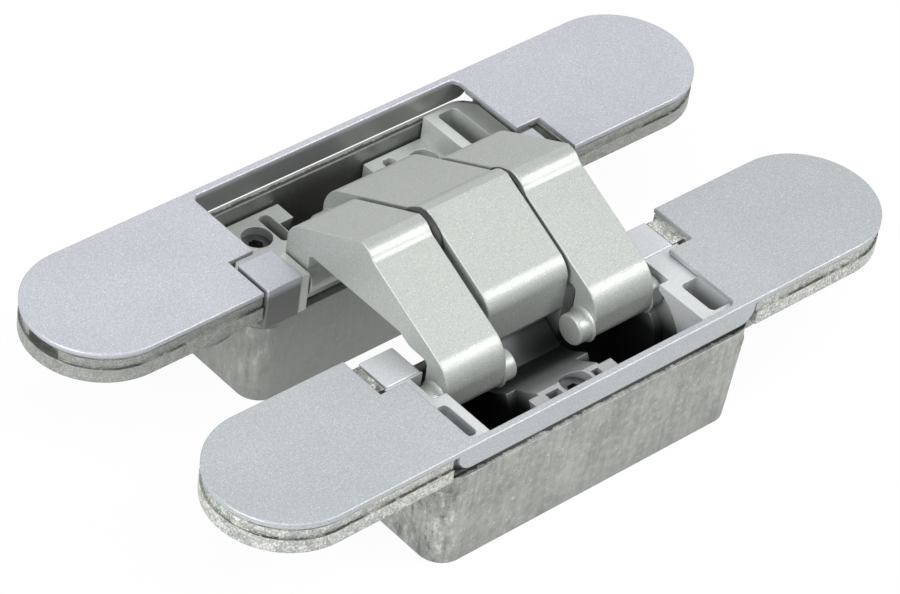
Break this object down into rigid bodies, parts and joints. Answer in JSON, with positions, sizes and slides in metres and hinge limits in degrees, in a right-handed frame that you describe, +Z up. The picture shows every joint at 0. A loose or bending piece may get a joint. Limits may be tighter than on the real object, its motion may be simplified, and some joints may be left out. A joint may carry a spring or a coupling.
{
  "type": "concealed door hinge",
  "caption": "Adjustable concealed door hinge, open flat: round-ended plates joined by a folding linkage of bent side-by-side arms over deep pockets.",
  "frame": {"origin": "centre of the footprint between the two halves, at the underside of the pockets", "axes": "+X along the hinge, +Y from the near half to the far half, +Z up out of the covers' faces"},
  "size_m": [0.116, 0.0602, 0.0322],
  "materials": {
    "zinc": "raw die-cast zinc, mottled",
    "cover_paint": "satin metallic paint",
    "carriage_paint": "satin metallic paint",
    "arm_paint": "satin silver paint",
    "steel": "ground steel",
    "dark_steel": "dark plated steel",
    "black_plastic": "black plastic"
  },
  "bodies": {
    "far_half": {"housing_far": "zinc", "cover_far": "cover_paint", "carriage_far": "carriage_paint", "bracket_far_left": "carriage_paint", "bracket_far_right": "carriage_paint", "adjuster_far_left": "dark_steel", "adjuster_far_right": "dark_steel", "pivot_pin_far_left": "steel", "pivot_pin_far_right": "steel"},
    "outer_arms": {"outer_arm_left": "arm_paint", "outer_arm_right": "arm_paint", "scissor_pin": "steel", "washer_left": "black_plastic", "washer_right": "black_plastic"},
    "centre_arm_body": {"centre_arm": "arm_paint"},
    "near_half": {"housing_near": "zinc", "cover_near": "cover_paint", "carriage_near": "carriage_paint", "bracket_near_left": "carriage_paint", "bracket_near_right": "carriage_paint", "adjuster_near": "dark_steel", "pivot_pin_near": "steel"}
  },
  "joints": [
    {"name": "outer_arm_hinge", "type": "hinge", "parent": "far_half", "child": "outer_arms", "pos_m": [-0.001, 0.0108, 0.0183], "axis": [-1, 0, 0], "range_deg": [0, 115.07]},
    {"name": "scissor_hinge", "type": "hinge", "parent": "outer_arms", "child": "centre_arm_body", "pos_m": [-0.001, 0, 0.0277], "axis": [-1, 0, 0], "range_deg": [-50.15, 0]},
    {"name": "centre_arm_hinge", "type": "hinge", "parent": "centre_arm_body", "child": "near_half", "pos_m": [-0.001, -0.0108, 0.0183], "axis": [-1, 0, 0], "range_deg": [0, 115.08]}
  ],
  "couplings": [
    {"joint": "scissor_hinge", "follows": "outer_arm_hinge", "ratio": -0.43571},
    {"joint": "centre_arm_hinge", "follows": "outer_arm_hinge", "ratio": 1}
  ]
}
